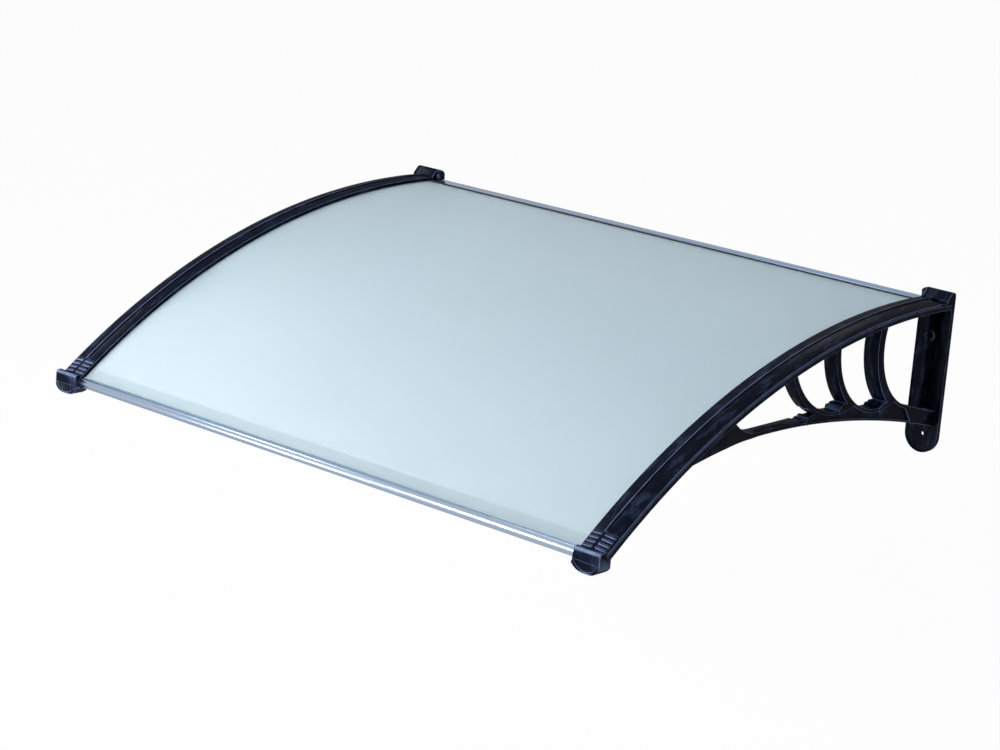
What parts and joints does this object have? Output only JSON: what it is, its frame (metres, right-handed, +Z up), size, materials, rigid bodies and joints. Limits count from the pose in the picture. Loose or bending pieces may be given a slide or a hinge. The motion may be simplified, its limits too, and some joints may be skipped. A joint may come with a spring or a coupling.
{
  "type": "door canopy",
  "caption": "Arched canopy for above a door: a bent translucent sheet with aluminium edge rails, held between moulded side brackets that fix to the wall.",
  "frame": {"origin": "on the wall plane, at the middle of the width, at the level where the sheet's top face would meet the wall: a point on the rear rail's back face", "axes": "+X along the wall to the right as seen from in front, +Y into the wall, +Z up"},
  "size_m": [1.07, 0.787, 0.2801],
  "materials": {
    "sheet": "translucent frosted polycarbonate, satin",
    "black_plastic": "black moulded plastic with a satin sheen",
    "rail_metal": "satin anodised extrusion",
    "front_seal": "soft grey-blue glazing seal",
    "rear_seal": "black soft seal",
    "screw_steel": "plain stainless screw"
  },
  "bodies": {
    "root": {"canopy_sheet": "sheet", "front_rail": "rail_metal", "front_seal": "front_seal", "rear_rail": "rail_metal", "rear_seal": "rear_seal", "bracket_right": "black_plastic", "bracket_left": "black_plastic", "cover_strip_right": "black_plastic", "cover_strip_left": "black_plastic", "strip_screw_right_1": "screw_steel", "strip_screw_right_2": "screw_steel", "strip_screw_right_3": "screw_steel", "strip_screw_right_4": "screw_steel", "strip_screw_right_5": "screw_steel", "strip_screw_left_1": "screw_steel", "strip_screw_left_2": "screw_steel", "strip_screw_left_3": "screw_steel", "strip_screw_left_4": "screw_steel", "strip_screw_left_5": "screw_steel", "front_rail_screw_right": "screw_steel", "front_rail_screw_left": "screw_steel", "rear_rail_screw_right": "screw_steel", "rear_rail_screw_left": "screw_steel"}
  },
  "joints": []
}
